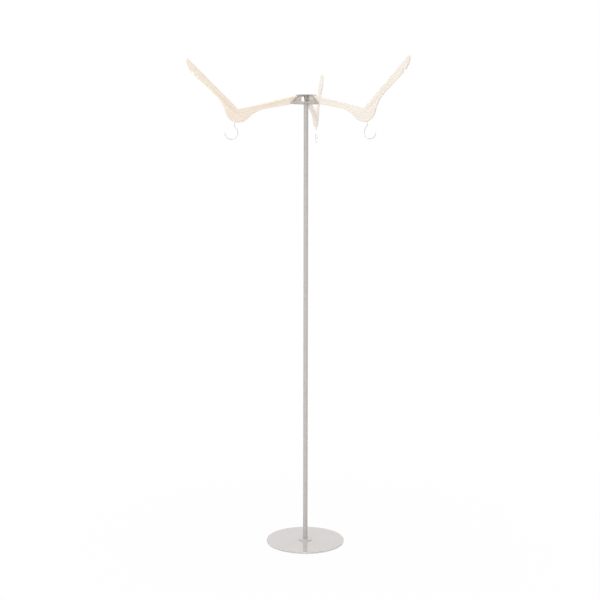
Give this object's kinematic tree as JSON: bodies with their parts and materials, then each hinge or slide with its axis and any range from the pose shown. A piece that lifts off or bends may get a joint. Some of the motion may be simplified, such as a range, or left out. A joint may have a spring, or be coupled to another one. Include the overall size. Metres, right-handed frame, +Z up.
{
  "type": "coat stand",
  "caption": "Free-standing coat stand: round steel foot, slim screw-together pole and upturned wooden hangers held at one end in an open steel hub, each with a swivelling wire hook.",
  "frame": {"origin": "on the floor, on the pole's axis, in the middle of the foot's underside", "axes": "+Z up along the pole; +Y along the first hanger, away from the viewer of the picture"},
  "size_m": [0.7418, 0.6432, 1.702],
  "materials": {
    "painted_steel": "smooth light warm-grey paint, half gloss",
    "beech": "pale straight-grained wood, thin satin varnish",
    "chrome": "bright plated steel wire",
    "zinc_steel": "zinc-plated steel",
    "rubber": "dull black moulded rubber sheet"
  },
  "bodies": {
    "stand": {"base_pad": "rubber", "base_plate": "painted_steel", "base_stud": "zinc_steel", "foot_collar": "painted_steel", "hub_lower_plate": "painted_steel", "hub_upper_plate": "painted_steel", "hub_post": "painted_steel", "hub_bolt": "zinc_steel", "pole_lower": "painted_steel", "lower_bottom_plug": "zinc_steel", "lower_top_plug": "zinc_steel", "pole_middle": "painted_steel", "middle_bottom_plug": "zinc_steel", "middle_top_plug": "zinc_steel", "pole_upper": "painted_steel", "upper_bottom_plug": "zinc_steel", "upper_top_plug": "zinc_steel", "lower_joint_stud": "zinc_steel", "upper_joint_stud": "zinc_steel", "hub_strut_1_left": "painted_steel", "hub_strut_1_right": "painted_steel", "hanger_1_inner_arm": "beech", "hanger_1_outer_arm": "beech", "hanger_1_dowel_low": "beech", "hanger_1_dowel_high": "beech", "hanger_1_bush": "chrome", "hanger_1_screw": "zinc_steel", "hub_strut_2_left": "painted_steel", "hub_strut_2_right": "painted_steel", "hanger_2_inner_arm": "beech", "hanger_2_outer_arm": "beech", "hanger_2_dowel_low": "beech", "hanger_2_dowel_high": "beech", "hanger_2_bush": "chrome", "hanger_2_screw": "zinc_steel", "hub_strut_3_left": "painted_steel", "hub_strut_3_right": "painted_steel", "hanger_3_inner_arm": "beech", "hanger_3_outer_arm": "beech", "hanger_3_dowel_low": "beech", "hanger_3_dowel_high": "beech", "hanger_3_bush": "chrome", "hanger_3_screw": "zinc_steel"},
    "hook_1_swivel": {"hook_1": "chrome", "hook_1_retainer": "zinc_steel"},
    "hook_2_swivel": {"hook_2": "chrome", "hook_2_retainer": "zinc_steel"},
    "hook_3_swivel": {"hook_3": "chrome", "hook_3_retainer": "zinc_steel"}
  },
  "joints": [
    {"name": "hook_1_turn", "type": "hinge", "parent": "stand", "child": "hook_1_swivel", "pos_m": [0, 0.25884, 1.49829], "axis": [0, 0.2521, -0.9677], "continuous": true},
    {"name": "hook_2_turn", "type": "hinge", "parent": "stand", "child": "hook_2_swivel", "pos_m": [-0.22417, -0.12942, 1.49829], "axis": [-0.2183, -0.126, -0.9677], "continuous": true},
    {"name": "hook_3_turn", "type": "hinge", "parent": "stand", "child": "hook_3_swivel", "pos_m": [0.22417, -0.12942, 1.49829], "axis": [0.2183, -0.126, -0.9677], "continuous": true}
  ]
}
